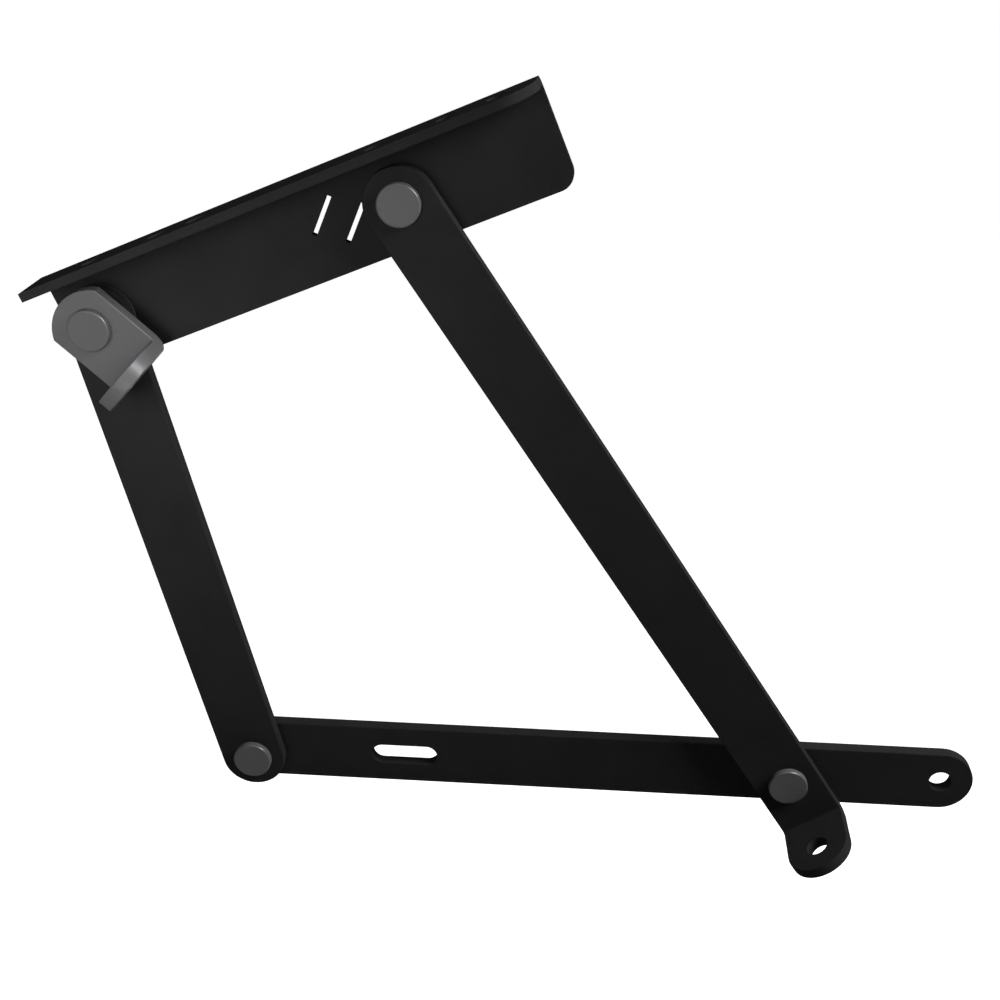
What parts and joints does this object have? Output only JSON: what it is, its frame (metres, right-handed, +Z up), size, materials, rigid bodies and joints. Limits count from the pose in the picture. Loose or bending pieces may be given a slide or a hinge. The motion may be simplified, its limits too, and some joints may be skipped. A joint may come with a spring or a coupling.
{
  "type": "spring lift mechanism",
  "caption": "Lift mechanism for a storage bench or bed lid: flat steel links pivot between a base bar and a mounting angle, with a swivelling anchor and a bent tail for a spring.",
  "frame": {"origin": "centre of the base bar's end fixing hole, on the bar's rear face", "axes": "+Z up, +X along the base bar towards its fixing hole's end, -Y towards the side with the links"},
  "size_m": [0.2777, 0.0333, 0.2342],
  "materials": {
    "black_steel": "matt black powder coat",
    "zinc_steel": "dull dark grey zinc phosphate",
    "black_nylon": "matt moulded"
  },
  "bodies": {
    "base": {"base_bar": "black_steel", "base_short_rivet": "zinc_steel", "base_long_rivet": "zinc_steel", "base_short_washer": "black_nylon", "base_long_washer": "black_nylon"},
    "long_link": {"long_link": "black_steel"},
    "angle": {"mounting_angle": "black_steel", "angle_long_rivet": "zinc_steel", "angle_long_washer": "black_nylon", "angle_long_back_washer": "zinc_steel"},
    "short_link": {"short_link": "black_steel", "angle_short_rivet": "zinc_steel", "angle_short_washer": "black_nylon", "angle_short_back_washer": "zinc_steel", "anchor_washer": "black_nylon"},
    "anchor": {"spring_anchor": "zinc_steel"}
  },
  "joints": [
    {"name": "lift_fold", "type": "hinge", "parent": "base", "child": "long_link", "pos_m": [-0.0478, -0.00765, 0], "axis": [0, -1, 0], "range_deg": [-5, 32]},
    {"name": "angle_tilt", "type": "hinge", "parent": "long_link", "child": "angle", "pos_m": [-0.16494, -0.00765, 0.17969], "axis": [0, -1, 0], "range_deg": [-54.6, 8.9]},
    {"name": "short_link_swing", "type": "hinge", "parent": "base", "child": "short_link", "pos_m": [-0.2178, -0.00765, 0], "axis": [0, -1, 0], "range_deg": [-6.8, 41]},
    {"name": "anchor_swivel", "type": "hinge", "parent": "short_link", "child": "anchor", "pos_m": [-0.25131, -0.00765, 0.14467], "axis": [0, -1, 0], "range_deg": [-110, 15]}
  ],
  "couplings": [
    {"joint": "angle_tilt", "follows": "lift_fold", "ratio": -1.69},
    {"joint": "short_link_swing", "follows": "lift_fold", "ratio": 1.267}
  ]
}
